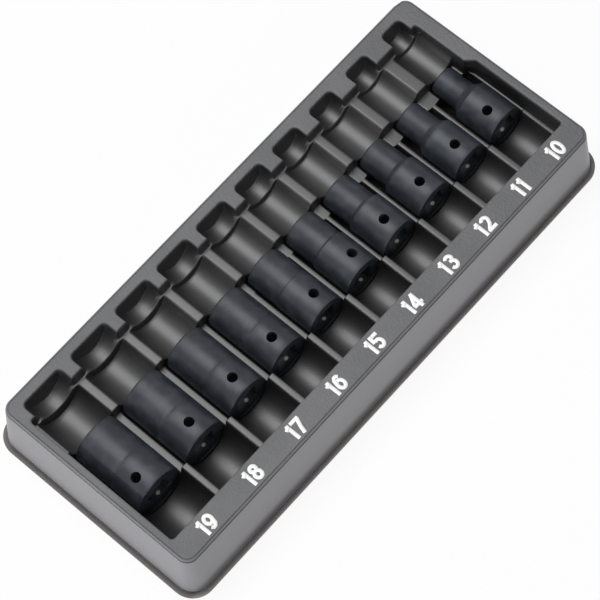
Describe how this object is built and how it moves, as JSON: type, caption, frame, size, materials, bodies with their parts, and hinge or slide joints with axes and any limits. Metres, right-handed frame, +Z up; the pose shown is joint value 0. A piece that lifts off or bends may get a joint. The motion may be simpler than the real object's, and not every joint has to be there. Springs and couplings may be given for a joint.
{
  "type": "socket organizer drawer box",
  "caption": "Formed plastic drawer tray holding a row of impact sockets in size order, each in its own pocket with finger troughs at both ends.",
  "frame": {"origin": "middle of the underside, on the surface that the tray stands on", "axes": "+Z up; +X along the row from the largest socket to the smallest; +Y along the sockets from the numbered strip to the notched rim"},
  "size_m": [0.332, 0.1442, 0.041],
  "materials": {
    "tray_plastic": "dark grey thermoformed sheet, pebble grain on the top face",
    "socket_steel": "satin black phosphate on turned alloy steel",
    "number_print": "white printed size numbers"
  },
  "bodies": {
    "tray": {"tray_rim": "tray_plastic", "seat_19": "tray_plastic", "seat_18": "tray_plastic", "seat_17": "tray_plastic", "seat_16": "tray_plastic", "seat_15": "tray_plastic", "seat_14": "tray_plastic", "seat_13": "tray_plastic", "seat_12": "tray_plastic", "seat_11": "tray_plastic", "seat_10": "tray_plastic"},
    "socket_19": {"socket_19": "socket_steel"},
    "socket_18": {"socket_18": "socket_steel"},
    "socket_17": {"socket_17": "socket_steel"},
    "socket_16": {"socket_16": "socket_steel"},
    "socket_15": {"socket_15": "socket_steel"},
    "socket_14": {"socket_14": "socket_steel"},
    "socket_13": {"socket_13": "socket_steel"},
    "socket_12": {"socket_12": "socket_steel"},
    "socket_11": {"socket_11": "socket_steel"},
    "socket_10": {"socket_10": "socket_steel"}
  },
  "joints": [
    {"name": "socket_19_lift", "type": "slide", "parent": "tray", "child": "socket_19", "axis": [0, 0, 1], "range_m": [0, 0.045]},
    {"name": "socket_18_lift", "type": "slide", "parent": "tray", "child": "socket_18", "axis": [0, 0, 1], "range_m": [0, 0.045]},
    {"name": "socket_17_lift", "type": "slide", "parent": "tray", "child": "socket_17", "axis": [0, 0, 1], "range_m": [0, 0.045]},
    {"name": "socket_16_lift", "type": "slide", "parent": "tray", "child": "socket_16", "axis": [0, 0, 1], "range_m": [0, 0.045]},
    {"name": "socket_15_lift", "type": "slide", "parent": "tray", "child": "socket_15", "axis": [0, 0, 1], "range_m": [0, 0.045]},
    {"name": "socket_14_lift", "type": "slide", "parent": "tray", "child": "socket_14", "axis": [0, 0, 1], "range_m": [0, 0.045]},
    {"name": "socket_13_lift", "type": "slide", "parent": "tray", "child": "socket_13", "axis": [0, 0, 1], "range_m": [0, 0.045]},
    {"name": "socket_12_lift", "type": "slide", "parent": "tray", "child": "socket_12", "axis": [0, 0, 1], "range_m": [0, 0.045]},
    {"name": "socket_11_lift", "type": "slide", "parent": "tray", "child": "socket_11", "axis": [0, 0, 1], "range_m": [0, 0.045]},
    {"name": "socket_10_lift", "type": "slide", "parent": "tray", "child": "socket_10", "axis": [0, 0, 1], "range_m": [0, 0.045]}
  ]
}
